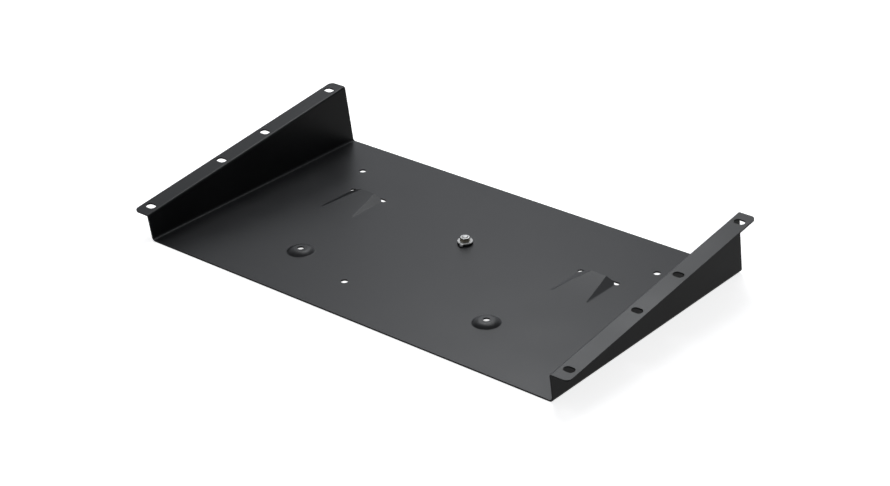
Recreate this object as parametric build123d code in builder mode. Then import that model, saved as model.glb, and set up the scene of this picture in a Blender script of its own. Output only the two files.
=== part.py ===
from build123d import *
import math
import os

# Folded steel tray that hangs between the two rails of a 19 inch rack. All sizes are in millimetres.
# X runs across the rack, Y runs from the low end of the ears to the high end, and Z points up
# out of the floor. The origin is the middle of the floor's underside.

# Sheet and bends: the ears are folded more tightly than the walls
sheet = 1.5
foot_bend_inner = 2.5
foot_bend_outer = foot_bend_inner + sheet
ear_bend_inner = 0.5
ear_bend_outer = ear_bend_inner + sheet

# Rack ears: their span is that of a 19 inch rack, and the margins put the slots on its holes,
# 465.1 apart across the rack and 88.9, 57.15 and 88.9 apart along each ear
ear_span = 482.6
ear_width = 16.8
ear_length = 260.0
ear_tilt = 7.5
ear_front_height = 27.0
ear_corner = 5.0
slot_width = 7.0
slot_length = 10.5
slot_side_margin = 8.75
slot_end_margin = 12.525
slot_inner_pitch = 57.15

# Plain holes in the floor, from its edges
rear_hole_from_wall = 55.5
rear_hole_from_back = 45.9
front_hole_x = -34.5
front_hole_from_front = 45.5
plain_hole_diameter = 6.5

# The bosses and ramps stand a little to the right of the middle
pattern_x = 2.0

# Pressed bosses near the front
boss_span = 209.6
boss_from_front = 63.3
boss_base_diameter = 24.6
boss_top_diameter = 17.4
boss_rise = 3.0
boss_hole_diameter = 6.0
boss_foot_blend = 1.5
boss_crest_blend = 7.0

# Lanced ramps near the back
ramp_span = 263.4
ramp_width = 38.0
ramp_run = 43.5
ramp_from_back = 81.7
ramp_rise = 4.0
ramp_inset = 11.0
ramp_ridge_blend = 1.0
relief_diameter = 5.2

# Stud pressed into the floor from below, with its washers and nut
stud_x = 3.0
stud_from_back = 101.5
stud_diameter = 5.0
stud_head_diameter = 7.8
stud_head_depth = 0.8
stud_proud = 0.5
stud_end_chamfer = 0.5
rubber_thickness = 1.5
washer_diameter = 14.1
washer_thickness = 1.2
tab_angle = -75.0
tab_slope = 50.0
tab_fold_inner = 0.6
tab_root_width = 4.0
tab_tip_width = 1.4
nut_flats = 8.0
nut_height = 3.5
nut_turn = -5.0
nut_chamfer_angle = 30.0
nut_countersink = 0.4

# Clearances, as differences of radius or as gaps
press_gap = 0.02
thread_gap = 0.05
washer_gap = 0.15
tab_gap = 0.2

# Tilted frame of the ears: along them from the low end, and square out of their top face
tilt = math.radians(ear_tilt)
along_ear = Vector(0, math.cos(tilt), math.sin(tilt))
off_ear = Vector(0, -math.sin(tilt), math.cos(tilt))

# The walls' ends rise square to the ears, which fixes how deep the floor is
floor_depth = ear_length / math.cos(tilt)
floor_front = -floor_depth / 2
floor_back = floor_depth / 2
half_channel = ear_span / 2 - ear_width
bend_line = half_channel - foot_bend_outer
wall_foot_front = Vector(0, floor_front, foot_bend_outer)
wall_foot_back = Vector(0, floor_back, foot_bend_outer)
ear_low_end = wall_foot_front + off_ear * (ear_front_height - foot_bend_outer)
ear_high_end = ear_low_end + along_ear * ear_length

# Reach of a forming tool past the sheet, so that its faces never lie in those of the sheet
tool_reach = 2.0


def boss_tool(corner_shift, level, foot_blend, crest_blend, root):
    """Solid under one skin of a pressed boss, round the Z axis, standing on the level called root."""
    foot = boss_base_diameter / 2 - corner_shift
    crest = boss_top_diameter / 2 - corner_shift
    rim = boss_base_diameter / 2 + boss_foot_blend + sheet
    with BuildPart() as tool:
        with BuildSketch(Plane.XZ):
            with BuildLine():
                FilletPolyline(
                    (0, level + boss_rise),
                    (crest, level + boss_rise),
                    (foot, level),
                    (rim, level),
                    radius=[crest_blend, foot_blend],
                )
                Polyline((rim, level), (rim, root), (0, root), (0, level + boss_rise))
            make_face()
        revolve(axis=Axis.Z)
    return tool.part


def ramp_tool(side_shift, front_shift, level, ridge_blend, root):
    """Solid under one skin of a lanced ramp, whose lanced edge stands over the X axis."""
    foot = ramp_width / 2 - side_shift
    crest = foot - ramp_inset
    toe = front_shift - ramp_run
    with BuildPart() as tool:
        with BuildSketch(Plane.YZ.offset(-foot)):
            with BuildLine():
                Polyline((toe, root), (toe, level), (0, level + ramp_rise), (0, root), close=True)
            make_face()
        extrude(amount=2 * foot)
        with BuildSketch(Plane.XZ):
            with BuildLine():
                Polyline(
                    (-foot, root),
                    (-foot, level),
                    (-crest, level + ramp_rise),
                    (crest, level + ramp_rise),
                    (foot, level),
                    (foot, root),
                    close=True,
                )
            make_face()
        extrude(amount=ramp_run, mode=Mode.INTERSECT)
        ridges = tool.edges().filter_by(lambda edge: edge.length > ramp_run).sort_by(Axis.Z)[-2:]
        fillet(ridges, radius=ridge_blend)
    return tool.part


# The inner skin's corners lie nearer the middle by the sheet times the tangent of half the slope
boss_slope = math.atan2(boss_rise, (boss_base_diameter - boss_top_diameter) / 2)
boss_shift = sheet * math.tan(boss_slope / 2)
flank_slope = math.atan2(ramp_rise, ramp_inset)
flank_shift = sheet * math.tan(flank_slope / 2)
ramp_slope = math.atan2(ramp_rise, ramp_run)
toe_shift = sheet * math.tan(ramp_slope / 2)

boss_outside = boss_tool(0, sheet, boss_foot_blend, boss_crest_blend + sheet, sheet / 2)
boss_inside = boss_tool(boss_shift, 0, boss_foot_blend + sheet, boss_crest_blend, -tool_reach)
ramp_outside = ramp_tool(0, 0, sheet, ramp_ridge_blend + sheet, sheet / 2)
ramp_inside = ramp_tool(flank_shift, toe_shift, 0, ramp_ridge_blend, -tool_reach)

boss_y = floor_front + boss_from_front
ramp_back_y = floor_back - ramp_from_back
rear_hole_x = half_channel - rear_hole_from_wall
rear_hole_y = floor_back - rear_hole_from_back
front_hole_y = floor_front + front_hole_from_front
stud_y = floor_back - stud_from_back
boss_places = [(pattern_x + side * boss_span / 2, boss_y) for side in (-1, 1)]
ramp_places = [(pattern_x + side * ramp_span / 2, ramp_back_y) for side in (-1, 1)]
relief_radius = relief_diameter / 2

# Tray: one sheet, folded and pressed
with BuildPart() as tray:
    # Right half of the floor, with the bend that turns it up into the wall
    with BuildSketch(Plane.XZ.offset(-floor_back)):
        with BuildLine():
            Line((0, 0), (bend_line, 0))
            CenterArc((bend_line, foot_bend_outer), foot_bend_outer, -90, 90)
            Line((half_channel, foot_bend_outer), (half_channel - sheet, foot_bend_outer))
            CenterArc((bend_line, foot_bend_outer), foot_bend_inner, -90, 90)
            Line((bend_line, sheet), (0, sheet))
            Line((0, sheet), (0, 0))
        make_face()
    extrude(amount=floor_depth)

    # Right wall, low at the front and high at the back
    wall_top_front = ear_low_end - off_ear * ear_bend_outer
    wall_top_back = ear_high_end - off_ear * ear_bend_outer
    with BuildSketch(Plane.YZ.offset(half_channel - sheet)):
        with BuildLine():
            Polyline(
                (wall_foot_front.Y, wall_foot_front.Z),
                (wall_foot_back.Y, wall_foot_back.Z),
                (wall_top_back.Y, wall_top_back.Z),
                (wall_top_front.Y, wall_top_front.Z),
                close=True,
            )
        make_face()
    extrude(amount=sheet)

    # Right ear, with the bend that turns it outwards from the top of the wall
    ear_bend_x = half_channel + ear_bend_inner
    with BuildSketch(Plane(origin=ear_high_end, x_dir=(1, 0, 0), z_dir=-along_ear)):
        with BuildLine():
            Line((ear_span / 2, 0), (ear_bend_x, 0))
            CenterArc((ear_bend_x, -ear_bend_outer), ear_bend_outer, 90, 90)
            Line((half_channel - sheet, -ear_bend_outer), (half_channel, -ear_bend_outer))
            CenterArc((ear_bend_x, -ear_bend_outer), ear_bend_inner, 90, 90)
            Line((ear_bend_x, -sheet), (ear_span / 2, -sheet))
            Line((ear_span / 2, -sheet), (ear_span / 2, 0))
        make_face()
    extrude(amount=ear_length)
    ear_corners = tray.edges().filter_by(Axis((0, 0, 0), off_ear)).sort_by(Axis.X)[-2:]
    fillet(ear_corners, radius=ear_corner)

    # The left half is the mirror image
    mirror(about=Plane.YZ)

    # Slots across the ears
    ear_middle = ear_low_end + along_ear * (ear_length / 2)
    slot_x = ear_span / 2 - slot_side_margin
    inner_slot = slot_inner_pitch / 2
    outer_slot = ear_length / 2 - slot_end_margin
    slot_places = [
        (side * slot_x, place)
        for side in (-1, 1)
        for place in (-outer_slot, -inner_slot, inner_slot, outer_slot)
    ]
    with BuildSketch(Plane(origin=ear_middle, x_dir=(1, 0, 0), z_dir=off_ear)):
        with Locations(*slot_places):
            SlotOverall(slot_length, slot_width)
    extrude(amount=-sheet, mode=Mode.SUBTRACT)

    # Bosses and ramps: the outer form is added to the floor, then the sheet is hollowed from below
    with Locations(*boss_places):
        add(boss_outside)
        add(boss_inside, mode=Mode.SUBTRACT)
    with Locations(*ramp_places):
        add(ramp_outside)
        add(ramp_inside, mode=Mode.SUBTRACT)

    # Lance cut behind each ramp, with a relief hole at each corner. The cut is as wide as
    # their radius, so its back edge runs smoothly into them
    with BuildSketch(Plane.XY):
        with Locations(*ramp_places):
            with Locations((0, relief_radius / 2)):
                Rectangle(ramp_width, relief_radius)
            with Locations((-ramp_width / 2, 0), (ramp_width / 2, 0)):
                Circle(relief_radius)
    extrude(amount=sheet + ramp_rise, mode=Mode.SUBTRACT)

    # Holes through the bosses and the floor
    with BuildSketch(Plane.XY):
        with Locations(*boss_places):
            Circle(boss_hole_diameter / 2)
        with Locations((-rear_hole_x, rear_hole_y), (rear_hole_x, rear_hole_y)):
            Circle(plain_hole_diameter / 2)
        with Locations((front_hole_x, front_hole_y)):
            Circle(plain_hole_diameter / 2)
        with Locations((stud_x, stud_y)):
            Circle(stud_diameter / 2 + press_gap)
    extrude(amount=sheet + boss_rise, mode=Mode.SUBTRACT)

    # Seat of the stud's head, in the underside
    with BuildSketch(Plane.XY):
        with Locations((stud_x, stud_y)):
            Circle(stud_head_diameter / 2 + press_gap)
    extrude(amount=stud_head_depth, mode=Mode.SUBTRACT)

tray.part.label = "tray"

# Levels of the stack on the stud
rubber_top = sheet + rubber_thickness
washer_top = rubber_top + washer_thickness
nut_top = washer_top + nut_height
stud_top = nut_top + stud_proud
stud_place = Plane(origin=(stud_x, stud_y, 0))

# Stud: its head is flush with the underside, and its shank stands up through the floor
with BuildPart() as clinch_stud:
    with BuildSketch(stud_place):
        Circle(stud_head_diameter / 2)
    extrude(amount=stud_head_depth)
    with BuildSketch(stud_place):
        Circle(stud_diameter / 2)
    extrude(amount=stud_top)
    end_rim = clinch_stud.edges().filter_by(GeomType.CIRCLE).sort_by(Axis.Z)[-1]
    chamfer(end_rim, length=stud_end_chamfer)

clinch_stud.part.label = "clinch_stud"

# Rubber washer on the floor
with BuildPart() as rubber_washer:
    with BuildSketch(stud_place.offset(sheet)):
        Circle(washer_diameter / 2)
        Circle(stud_diameter / 2 + washer_gap, mode=Mode.SUBTRACT)
    extrude(amount=rubber_thickness)

rubber_washer.part.label = "rubber_washer"

# Steel washer with one pointed tab, folded down over the rubber's rim to just above the floor
with BuildPart() as tab_washer:
    tab_outward = Vector(1, 0, 0).rotate(Axis.Z, tab_angle)
    tab_side = Plane(origin=stud_place.origin, x_dir=tab_outward, z_dir=tab_outward.cross(Vector(0, 0, 1)))
    tab_above = Plane(origin=stud_place.origin, x_dir=tab_outward, z_dir=(0, 0, 1))
    tab_fall = math.radians(tab_slope)
    half_layer = washer_thickness / 2
    fold_radius = tab_fold_inner + half_layer
    fold_x = washer_diameter / 2 + fold_radius * math.tan(tab_fall / 2)
    fold_z = rubber_top + half_layer
    tip_z = sheet + tab_gap + half_layer * math.cos(tab_fall)
    tip_x = fold_x + (fold_z - tip_z) / math.tan(tab_fall)
    tab_start = nut_flats / 2
    tab_reach = tip_x + washer_thickness
    with BuildSketch(tab_side):
        with BuildLine():
            FilletPolyline((tab_start, fold_z), (fold_x, fold_z), (tip_x, tip_z), radius=fold_radius)
        trace(line_width=washer_thickness)
    extrude(amount=tab_root_width / 2, both=True)
    with BuildSketch(tab_above):
        with BuildLine():
            Polyline(
                (tab_start, -tab_root_width / 2),
                (washer_diameter / 2, -tab_root_width / 2),
                (tab_reach, -tab_tip_width / 2),
                (tab_reach, tab_tip_width / 2),
                (washer_diameter / 2, tab_root_width / 2),
                (tab_start, tab_root_width / 2),
                close=True,
            )
        make_face()
    extrude(amount=washer_top, mode=Mode.INTERSECT)
    with BuildSketch(stud_place.offset(rubber_top)):
        Circle(washer_diameter / 2)
    extrude(amount=washer_thickness)
    with BuildSketch(stud_place.offset(rubber_top)):
        Circle(stud_diameter / 2 + washer_gap)
    extrude(amount=washer_thickness, mode=Mode.SUBTRACT)

tab_washer.part.label = "tab_washer"

# Nut: a hexagon with both ends turned to a cone, and a countersunk bore
with BuildPart() as hex_nut:
    with BuildSketch(stud_place.offset(washer_top)):
        RegularPolygon(nut_flats / 2, 6, major_radius=False, rotation=nut_turn)
    extrude(amount=nut_height)
    nut_corner = nut_flats / 2 / math.cos(math.pi / 6)
    nut_face = nut_flats / 2
    cone_depth = (nut_corner - nut_face) * math.tan(math.radians(nut_chamfer_angle))
    with BuildSketch(Plane.XZ.offset(-stud_y)):
        with BuildLine():
            Polyline(
                (stud_x, washer_top),
                (stud_x + nut_face, washer_top),
                (stud_x + nut_corner, washer_top + cone_depth),
                (stud_x + nut_corner, nut_top - cone_depth),
                (stud_x + nut_face, nut_top),
                (stud_x, nut_top),
                close=True,
            )
        make_face()
    revolve(axis=Axis((stud_x, stud_y, 0), (0, 0, 1)), mode=Mode.INTERSECT)
    with BuildSketch(stud_place.offset(washer_top)):
        Circle(stud_diameter / 2 + thread_gap)
    extrude(amount=nut_height, mode=Mode.SUBTRACT)
    bore_rims = hex_nut.edges().filter_by(GeomType.CIRCLE).sort_by(SortBy.RADIUS)[:2]
    chamfer(bore_rims, length=nut_countersink)

hex_nut.part.label = "hex_nut"

os.makedirs("parts", exist_ok=True)
export_step(tray.part, "parts/tray.step")
export_step(clinch_stud.part, "parts/clinch_stud.step")
export_step(rubber_washer.part, "parts/rubber_washer.step")
export_step(tab_washer.part, "parts/tab_washer.step")
export_step(hex_nut.part, "parts/hex_nut.step")
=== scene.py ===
import math

import bmesh
import bpy
from mathutils import Matrix, Vector


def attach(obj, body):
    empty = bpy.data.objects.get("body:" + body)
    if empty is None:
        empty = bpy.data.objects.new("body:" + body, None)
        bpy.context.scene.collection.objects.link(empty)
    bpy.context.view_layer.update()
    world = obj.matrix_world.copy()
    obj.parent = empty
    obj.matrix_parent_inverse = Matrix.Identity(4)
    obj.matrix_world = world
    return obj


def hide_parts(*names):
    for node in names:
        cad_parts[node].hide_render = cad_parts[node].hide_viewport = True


# Looks of a folded, powder-coated steel rack tray and its zinc-plated fastener. All sizes are in metres.

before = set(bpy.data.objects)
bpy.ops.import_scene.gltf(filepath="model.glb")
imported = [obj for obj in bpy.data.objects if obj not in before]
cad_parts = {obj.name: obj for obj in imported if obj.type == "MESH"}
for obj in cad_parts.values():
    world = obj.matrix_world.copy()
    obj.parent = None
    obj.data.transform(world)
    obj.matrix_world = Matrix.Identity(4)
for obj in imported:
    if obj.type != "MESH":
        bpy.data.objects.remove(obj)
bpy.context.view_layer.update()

MM = 0.001

# Camera of the photograph, in the part's frame
CAMERA_PLACE = Vector((1.0453, -1.1871, 0.8348))
CAMERA_AIM = Vector((0.0185, 0.0451, 0.0))
CAMERA_ROLL = math.radians(-1.375)
CAMERA_LENS = 83.27
CAMERA_SHIFT = -0.0506
CAMERA_REACH = 20.0

# Hard edges: the angle above which two faces meet in one, and how widely the pieces are rounded there
EDGE_ANGLE = math.radians(35)
SHEET_EDGE = 0.25 * MM
FINE_EDGE = 0.12 * MM
WASHER_EDGE = 0.45 * MM
EDGE_SEGMENTS = 2
WASHER_SEGMENTS = 3

# Creases, which are blunter than hard edges but sharper than this angle, and the width of the tray's
CREASE_ANGLE = math.radians(14)
CREASE_WIDTH = 1.2 * MM
CREASE_SEGMENTS = 4

# Points closer than this are joined, and so are faces that meet at less than this angle
WELD = 0.001 * MM
FLAT_ANGLE = math.radians(0.05)

# A face is upright where the height of its normal is under this
UPRIGHT = 0.2

# Stretch of the noise over which a clouded value goes from low to high
CLOUD_START = 0.3
CLOUD_END = 0.7

# Powder coat: its clouded tones, its specks, and a lighter tone on rounded edges, partly where the coat
# wears and partly a painted highlight
COAT_DARK = (0.0100, 0.0103, 0.0109, 1)
COAT_LIGHT = (0.0140, 0.0144, 0.0152, 1)
COAT_SPECK = (0.021, 0.021, 0.022, 1)
COAT_WORN_AND_HIGHLIT = (0.028, 0.027, 0.026, 1)

# Zinc plate: its upright faces are painted lighter and warmer than the tops, as painted light, and its
# rounded edges get a pale tone that is partly burnish from tumbling and partly a painted highlight
WASHER_SIDES_PAINTED_LIGHT = (0.44, 0.43, 0.41, 1)
NUT_SIDES_PAINTED_LIGHT = (0.42, 0.38, 0.29, 1)
BURNISHED_AND_HIGHLIT = (0.85, 0.84, 0.80, 1)

# Blue in the grey of its other faces, as a share of the red and green
ZINC_BLUE = 0.98

# Rubber
RUBBER_DARK = (0.006, 0.006, 0.006, 1)
RUBBER_LIGHT = (0.013, 0.013, 0.013, 1)

# Floor: its size, and its matt tone and its glow, each as seen and as mirrored
FLOOR_RADIUS = 4.0
FLOOR_SEGMENTS = 96
FLOOR_GAP = 0.05 * MM
FLOOR_TONE = 0.8
FLOOR_MIRRORED_TONE = 0.1
FLOOR_GLOW = 0.82
FLOOR_MIRRORED_GLOW = 0.4

# Sky: the strength of the light that falls from it, and the tint of all its light but what the camera sees
SKY_FILL = 0.3
SKY_TINT = (0.92, 0.945, 1.0, 1)
WHITE = (1, 1, 1, 1)

# Share of the room's light by direction: full behind the object, less at the horizon, dim on the side that
# this direction points to, and pale overhead. The dimming goes by the cosine of the angle to that
# direction, and the other two go by the height of a direction of length 1
DIM_SIDE = Vector((0.64, -0.77, 0.0))
DIM_LEVEL = 0.08
DIM_START = -0.95
DIM_END = -0.15
HORIZON_LEVEL = 0.75
HORIZON_TOP = 0.45
OVERHEAD_LEVEL = 0.7
OVERHEAD_START = 0.5
OVERHEAD_END = 0.8

# Lamps: their colour, the width and height of each kind, and the places that they aim at
LAMP_COLOUR = (0.96, 0.98, 1.0)
SMALL_BOX = (0.4, 0.35)
LARGE_BOX = (1.0, 0.8)
LOW_BOX = (0.9, 0.35)
MIDDLE = (0.0, 0.0, 0.0)
RIGHT_OF_MIDDLE = (0.2, 0.0, 0.0)


def new_nodes(name):
    """A new material, and its node tree, which is empty."""
    material = bpy.data.materials.new(name)
    material.use_nodes = True
    tree = material.node_tree
    tree.nodes.clear()
    return material, tree


def add(tree, kind, **values):
    """A node of that kind. Values name its sockets, or its own settings where it has no such socket."""
    node = tree.nodes.new(kind)
    for name, value in values.items():
        socket = node.inputs.get(name.replace("_", " "))
        if socket is None:
            setattr(node, name, value)
        elif isinstance(value, bpy.types.NodeSocket):
            tree.links.new(value, socket)
        else:
            socket.default_value = value
    return node


def show(tree, shader):
    """Makes the shader the material's surface."""
    tree.links.new(shader, add(tree, "ShaderNodeOutputMaterial").inputs["Surface"])


def object_place(tree):
    """The place on the piece, in its own axes."""
    return add(tree, "ShaderNodeTexCoord").outputs["Object"]


def face_mark(tree, name):
    """What finished() wrote on each face under that name, 0 or 1."""
    return add(tree, "ShaderNodeAttribute", attribute_name=name).outputs["Fac"]


def noise(tree, place, cells, detail, roughness=0.5):
    """Noise of that many cells a metre, from 0 to 1."""
    node = add(tree, "ShaderNodeTexNoise", Vector=place, Scale=cells, Detail=detail, Roughness=roughness)
    return node.outputs["Fac"]


def between(tree, factor, low, high, start=0.0, end=1.0):
    """The factor's stretch from start to end, mapped to values from low to high."""
    stretch = {"From_Min": start, "From_Max": end, "To_Min": low, "To_Max": high}
    return add(tree, "ShaderNodeMapRange", Value=factor, **stretch).outputs["Result"]


def clouded(tree, cloud, low=0, high=1, start=CLOUD_START):
    """A value that follows the cloud from low to high."""
    return between(tree, cloud, low, high, start, CLOUD_END)


def combined(tree, operation, first, second):
    """One value made from two, by a maths operation."""
    node = add(tree, "ShaderNodeMath", operation=operation)
    tree.links.new(first, node.inputs[0])
    tree.links.new(second, node.inputs[1])
    return node.outputs[0]


def blend(tree, factor, first, second):
    """A colour between two colours."""
    node = add(tree, "ShaderNodeMix", data_type="RGBA", Factor=factor)
    for name, value in (("A", first), ("B", second)):
        socket = next(s for s in node.inputs if s.name == name and s.type == "RGBA")
        if isinstance(value, bpy.types.NodeSocket):
            tree.links.new(value, socket)
        else:
            socket.default_value = value
    return next(s for s in node.outputs if s.type == "RGBA")


def bumped(tree, height, strength, depth, below=None):
    """The surface's normal, bent by a height, on top of another bent normal where one is given."""
    node = add(tree, "ShaderNodeBump", Height=height, Strength=strength, Distance=depth)
    if below is not None:
        tree.links.new(below, node.inputs["Normal"])
    return node.outputs["Normal"]


def powder_coat():
    """Fine satin black powder coat: orange peel, grain, faint clouding, and rounded edges in a lighter tone,
    partly where the coat wears through and partly a painted highlight.
    """
    material, tree = new_nodes("powder_coat_satin")
    place = object_place(tree)
    cloud = noise(tree, place, cells=22, detail=3)
    peel = noise(tree, place, cells=650, detail=2)
    grain = noise(tree, place, cells=2600, detail=2, roughness=0.6)
    wear_and_highlight_cloud = noise(tree, place, cells=160, detail=3)

    coat = blend(tree, clouded(tree, cloud), COAT_DARK, COAT_LIGHT)
    speckled = blend(tree, between(tree, grain, low=0, high=0.5, start=0.55, end=0.8), coat, COAT_SPECK)
    # Painted highlight, partly real wear: the rounded edges are lightened in patches where the coat wears,
    # and as a painted highlight along them
    thinned_and_highlit = clouded(tree, wear_and_highlight_cloud, low=0.15, high=0.8, start=0.35)
    worn_and_highlit = combined(tree, "MULTIPLY", face_mark(tree, "rim"), thinned_and_highlit)
    colour = blend(tree, worn_and_highlit, speckled, COAT_WORN_AND_HIGHLIT)

    peeled = bumped(tree, peel, strength=0.12, depth=0.05 * MM)
    shader = add(
        tree,
        "ShaderNodeBsdfPrincipled",
        Base_Color=colour,
        Roughness=clouded(tree, cloud, low=0.36, high=0.41),
        Specular_IOR_Level=0.2,
        Normal=bumped(tree, grain, strength=0.18, depth=0.012 * MM, below=peeled),
    )
    show(tree, shader.outputs["BSDF"])
    return material


def zinc_plate(name, dark, light, painted_light_sides, smooth, rough):
    """Zinc plate, clouded from dark to light and from smooth to rough, with upright faces in another tone as
    painted light, and rounded edges in a pale tone that is partly burnish and partly a painted highlight.
    """
    material, tree = new_nodes(name)
    place = object_place(tree)
    cloud = noise(tree, place, cells=420, detail=3)
    grain = noise(tree, place, cells=5200, detail=2)

    tones = [(tone, tone, ZINC_BLUE * tone, 1) for tone in (dark, light)]
    plate = blend(tree, clouded(tree, cloud), tones[0], tones[1])
    # Painted light: upright faces get their own tone, lighter and warmer than the tops
    plate_and_painted_sides = blend(tree, face_mark(tree, "side"), plate, painted_light_sides)
    # Partly burnish, partly a painted highlight: the rounded edges get a pale tone
    colour = blend(tree, face_mark(tree, "rim"), plate_and_painted_sides, BURNISHED_AND_HIGHLIT)

    shader = add(
        tree,
        "ShaderNodeBsdfPrincipled",
        Base_Color=colour,
        Metallic=1.0,
        Roughness=clouded(tree, cloud, low=smooth, high=rough),
        Normal=bumped(tree, grain, strength=0.25, depth=0.006 * MM),
    )
    show(tree, shader.outputs["BSDF"])
    return material


def black_rubber():
    """Matt black rubber with a faint bloom."""
    material, tree = new_nodes("black_rubber_matt")
    bloom = noise(tree, object_place(tree), cells=900, detail=3)
    colour = blend(tree, clouded(tree, bloom, start=0.35), RUBBER_DARK, RUBBER_LIGHT)
    shader = add(
        tree,
        "ShaderNodeBsdfPrincipled",
        Base_Color=colour,
        Roughness=0.62,
        Specular_IOR_Level=0.3,
        Normal=bumped(tree, bloom, strength=0.3, depth=0.03 * MM),
    )
    show(tree, shader.outputs["BSDF"])
    return material


def rounded(work, low_angle, high_angle, width, segments, clamp):
    """Rounds the edges whose faces meet at an angle between the two. Gives the set of new faces."""
    edges = [
        edge
        for edge in work.edges
        if len(edge.link_faces) == 2 and low_angle < edge.calc_face_angle() <= high_angle
    ]
    made = bmesh.ops.bevel(
        work,
        geom=edges,
        offset=width,
        offset_type="OFFSET",
        segments=segments,
        profile=0.5,
        affect="EDGES",
        clamp_overlap=clamp,
        harden_normals=False,
    )
    return set(made["faces"])


def finished(node, material, edge):
    """A copy of a CAD node with its edges rounded, in place of the node.

    Its faces are marked as rim on the rounded edges, and as side where they are upright and not rim.
    """
    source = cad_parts[node]
    work = bmesh.new()
    work.from_mesh(source.data)
    bmesh.ops.remove_doubles(work, verts=work.verts, dist=WELD)
    bmesh.ops.dissolve_limit(work, verts=work.verts, edges=work.edges, angle_limit=FLAT_ANGLE)
    if node == "tray":
        # Pressed creases are softer than cut edges, and run out to a point
        rounded(work, CREASE_ANGLE, EDGE_ANGLE, CREASE_WIDTH, CREASE_SEGMENTS, clamp=False)
        rim_faces = rounded(work, EDGE_ANGLE, math.pi, edge, EDGE_SEGMENTS, clamp=True)
    elif node == "tab_washer":
        # Its rolled edge is so wide that a clamp would leave nothing of it
        rim_faces = rounded(work, EDGE_ANGLE, math.pi, edge, WASHER_SEGMENTS, clamp=False)
    else:
        # On the small pieces, creases are rounded like hard edges
        rim_faces = rounded(work, CREASE_ANGLE, math.pi, edge, EDGE_SEGMENTS, clamp=True)
    # The rim mark carries a painted highlight in the materials, and the side mark a painted lighter, warmer
    # tone on zinc
    rim = work.faces.layers.float.new("rim")
    side = work.faces.layers.float.new("side")
    for face in work.faces:
        face.smooth = True
        face[rim] = 1.0 if face in rim_faces else 0.0
        face[side] = 1.0 if face not in rim_faces and abs(face.normal.z) < UPRIGHT else 0.0

    mesh = bpy.data.meshes.new(node + "_finished")
    work.to_mesh(mesh)
    work.free()
    mesh.materials.append(material)
    piece = bpy.data.objects.new(node + "_finished", mesh)
    bpy.context.scene.collection.objects.link(piece)
    weights = piece.modifiers.new("weights", "WEIGHTED_NORMAL")
    weights.mode = "FACE_AREA"
    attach(piece, "root")
    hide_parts(node)


def softbox(name, place, aim, size, power):
    """A rectangular soft lamp."""
    lamp = bpy.data.lights.new(name, "AREA")
    lamp.shape = "RECTANGLE"
    lamp.size, lamp.size_y = size
    lamp.energy = power
    lamp.color = LAMP_COLOUR
    holder = bpy.data.objects.new(name, lamp)
    holder.location = place
    holder.rotation_euler = (Vector(aim) - Vector(place)).to_track_quat("-Z", "Y").to_euler()
    bpy.context.scene.collection.objects.link(holder)


def by_ray(tree, seen, mirrored, fallen, share=None):
    """One strength for rays of the camera, one for those in reflections or glass, one for falling light.

    Where a share is given, the last two are multiplied by it.
    """
    path = add(tree, "ShaderNodeLightPath")
    mirror = combined(tree, "MAXIMUM", path.outputs["Is Glossy Ray"], path.outputs["Is Transmission Ray"])
    strength = between(tree, mirror, fallen, mirrored)
    if share is not None:
        strength = combined(tree, "MULTIPLY", strength, share)
    return between(tree, path.outputs["Is Camera Ray"], strength, seen)


def room_share(tree):
    """The room's share of light from each direction."""
    direction = add(tree, "ShaderNodeTexCoord").outputs["Generated"]
    towards = add(tree, "ShaderNodeVectorMath", operation="DOT_PRODUCT")
    tree.links.new(direction, towards.inputs[0])
    towards.inputs[1].default_value = DIM_SIDE
    height = add(tree, "ShaderNodeSeparateXYZ", Vector=direction).outputs["Z"]
    sideways = between(tree, towards.outputs["Value"], 1.0, DIM_LEVEL, DIM_START, DIM_END)
    upwards = between(tree, height, HORIZON_LEVEL, 1.0, 0.0, HORIZON_TOP)
    overhead = between(tree, height, 0.0, OVERHEAD_LEVEL, OVERHEAD_START, OVERHEAD_END)
    around = combined(tree, "MULTIPLY", sideways, upwards)
    return combined(tree, "MAXIMUM", around, overhead)


def sky():
    """White for the camera, and the room's light for everything else."""
    world = bpy.data.worlds.new("room")
    bpy.context.scene.world = world
    world.use_nodes = True
    tree = world.node_tree
    tree.nodes.clear()
    straight = add(tree, "ShaderNodeLightPath").outputs["Is Camera Ray"]
    tint = blend(tree, straight, SKY_TINT, WHITE)
    strength = by_ray(tree, seen=1.0, mirrored=1.0, fallen=SKY_FILL, share=room_share(tree))
    glow = add(tree, "ShaderNodeBackground", Color=tint, Strength=strength)
    tree.links.new(glow.outputs[0], add(tree, "ShaderNodeOutputWorld").inputs["Surface"])


def pale_floor():
    """A pale floor that keeps the object's shadow."""
    material, tree = new_nodes("pale_floor")
    tone = by_ray(tree, seen=FLOOR_TONE, mirrored=FLOOR_MIRRORED_TONE, fallen=FLOOR_TONE)
    matt = add(tree, "ShaderNodeBsdfDiffuse", Color=tone)
    strength = by_ray(tree, seen=FLOOR_GLOW, mirrored=FLOOR_MIRRORED_GLOW, fallen=0.0)
    glow = add(tree, "ShaderNodeEmission", Color=WHITE, Strength=strength)
    both = add(tree, "ShaderNodeAddShader")
    tree.links.new(matt.outputs[0], both.inputs[0])
    tree.links.new(glow.outputs[0], both.inputs[1])
    show(tree, both.outputs[0])

    mesh = bpy.data.meshes.new("floor")
    work = bmesh.new()
    bmesh.ops.create_circle(work, cap_ends=True, radius=FLOOR_RADIUS, segments=FLOOR_SEGMENTS)
    work.to_mesh(mesh)
    work.free()
    mesh.materials.append(material)
    floor = bpy.data.objects.new("floor", mesh)
    floor.location.z = -FLOOR_GAP
    bpy.context.scene.collection.objects.link(floor)


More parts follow.
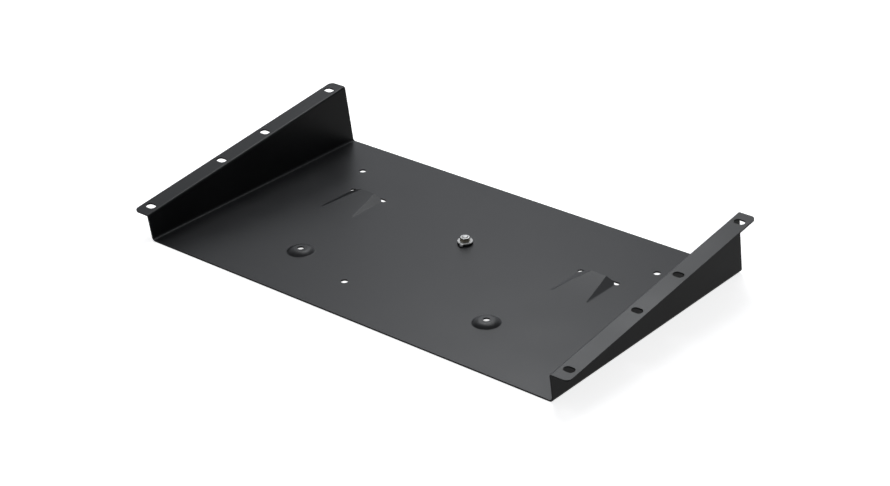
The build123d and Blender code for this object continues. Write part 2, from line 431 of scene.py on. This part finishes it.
def camera():
    """The photograph's camera."""
    lens = bpy.data.cameras.new("camera")
    lens.lens = CAMERA_LENS
    lens.shift_x = CAMERA_SHIFT
    lens.clip_end = CAMERA_REACH
    holder = bpy.data.objects.new("camera", lens)
    turn = (CAMERA_AIM - CAMERA_PLACE).to_track_quat("-Z", "Y").to_matrix()
    rolled = turn @ Matrix.Rotation(CAMERA_ROLL, 3, "Z")
    holder.matrix_world = Matrix.Translation(CAMERA_PLACE) @ rolled.to_4x4()
    bpy.context.scene.collection.objects.link(holder)
    bpy.context.scene.camera = holder


# Pieces
coat = powder_coat()
# Each zinc gets a painted lighter, warmer tone for its upright faces
washer_zinc = zinc_plate(
    "zinc_plate_washer", dark=0.29, light=0.36, painted_light_sides=WASHER_SIDES_PAINTED_LIGHT, smooth=0.55, rough=0.65
)
nut_zinc = zinc_plate("zinc_plate_nut", dark=0.32, light=0.41, painted_light_sides=NUT_SIDES_PAINTED_LIGHT, smooth=0.30, rough=0.40)
rubber = black_rubber()
finished("tray", coat, SHEET_EDGE)
finished("clinch_stud", nut_zinc, FINE_EDGE)
finished("rubber_washer", rubber, FINE_EDGE)
finished("tab_washer", washer_zinc, WASHER_EDGE)
finished("hex_nut", nut_zinc, FINE_EDGE)

# Room: the lamps stand behind and above the tray, where its floor and ears mirror them into the camera,
# and two low ones stand in front, whose light shows mostly from behind
sky()
pale_floor()
softbox("key", place=(-0.45, 0.45, 0.85), aim=MIDDLE, size=SMALL_BOX, power=2.12)
softbox("middle", place=(-0.40, 0.60, 0.85), aim=MIDDLE, size=SMALL_BOX, power=1.12)
softbox("back", place=(-0.45, 0.80, 0.85), aim=MIDDLE, size=SMALL_BOX, power=0.9)
softbox("far", place=(-1.6, 1.9, 1.2), aim=MIDDLE, size=LARGE_BOX, power=1.2)
softbox("high", place=(-0.09, 0.38, 0.91), aim=RIGHT_OF_MIDDLE, size=SMALL_BOX, power=1.85)
for word, side in (("left", -1), ("right", 1)):
    softbox("low_" + word, place=(0.95 * side, -0.95, 0.22), aim=MIDDLE, size=LOW_BOX, power=1.2)
camera()

scene = bpy.context.scene
scene.view_settings.view_transform = "Standard"
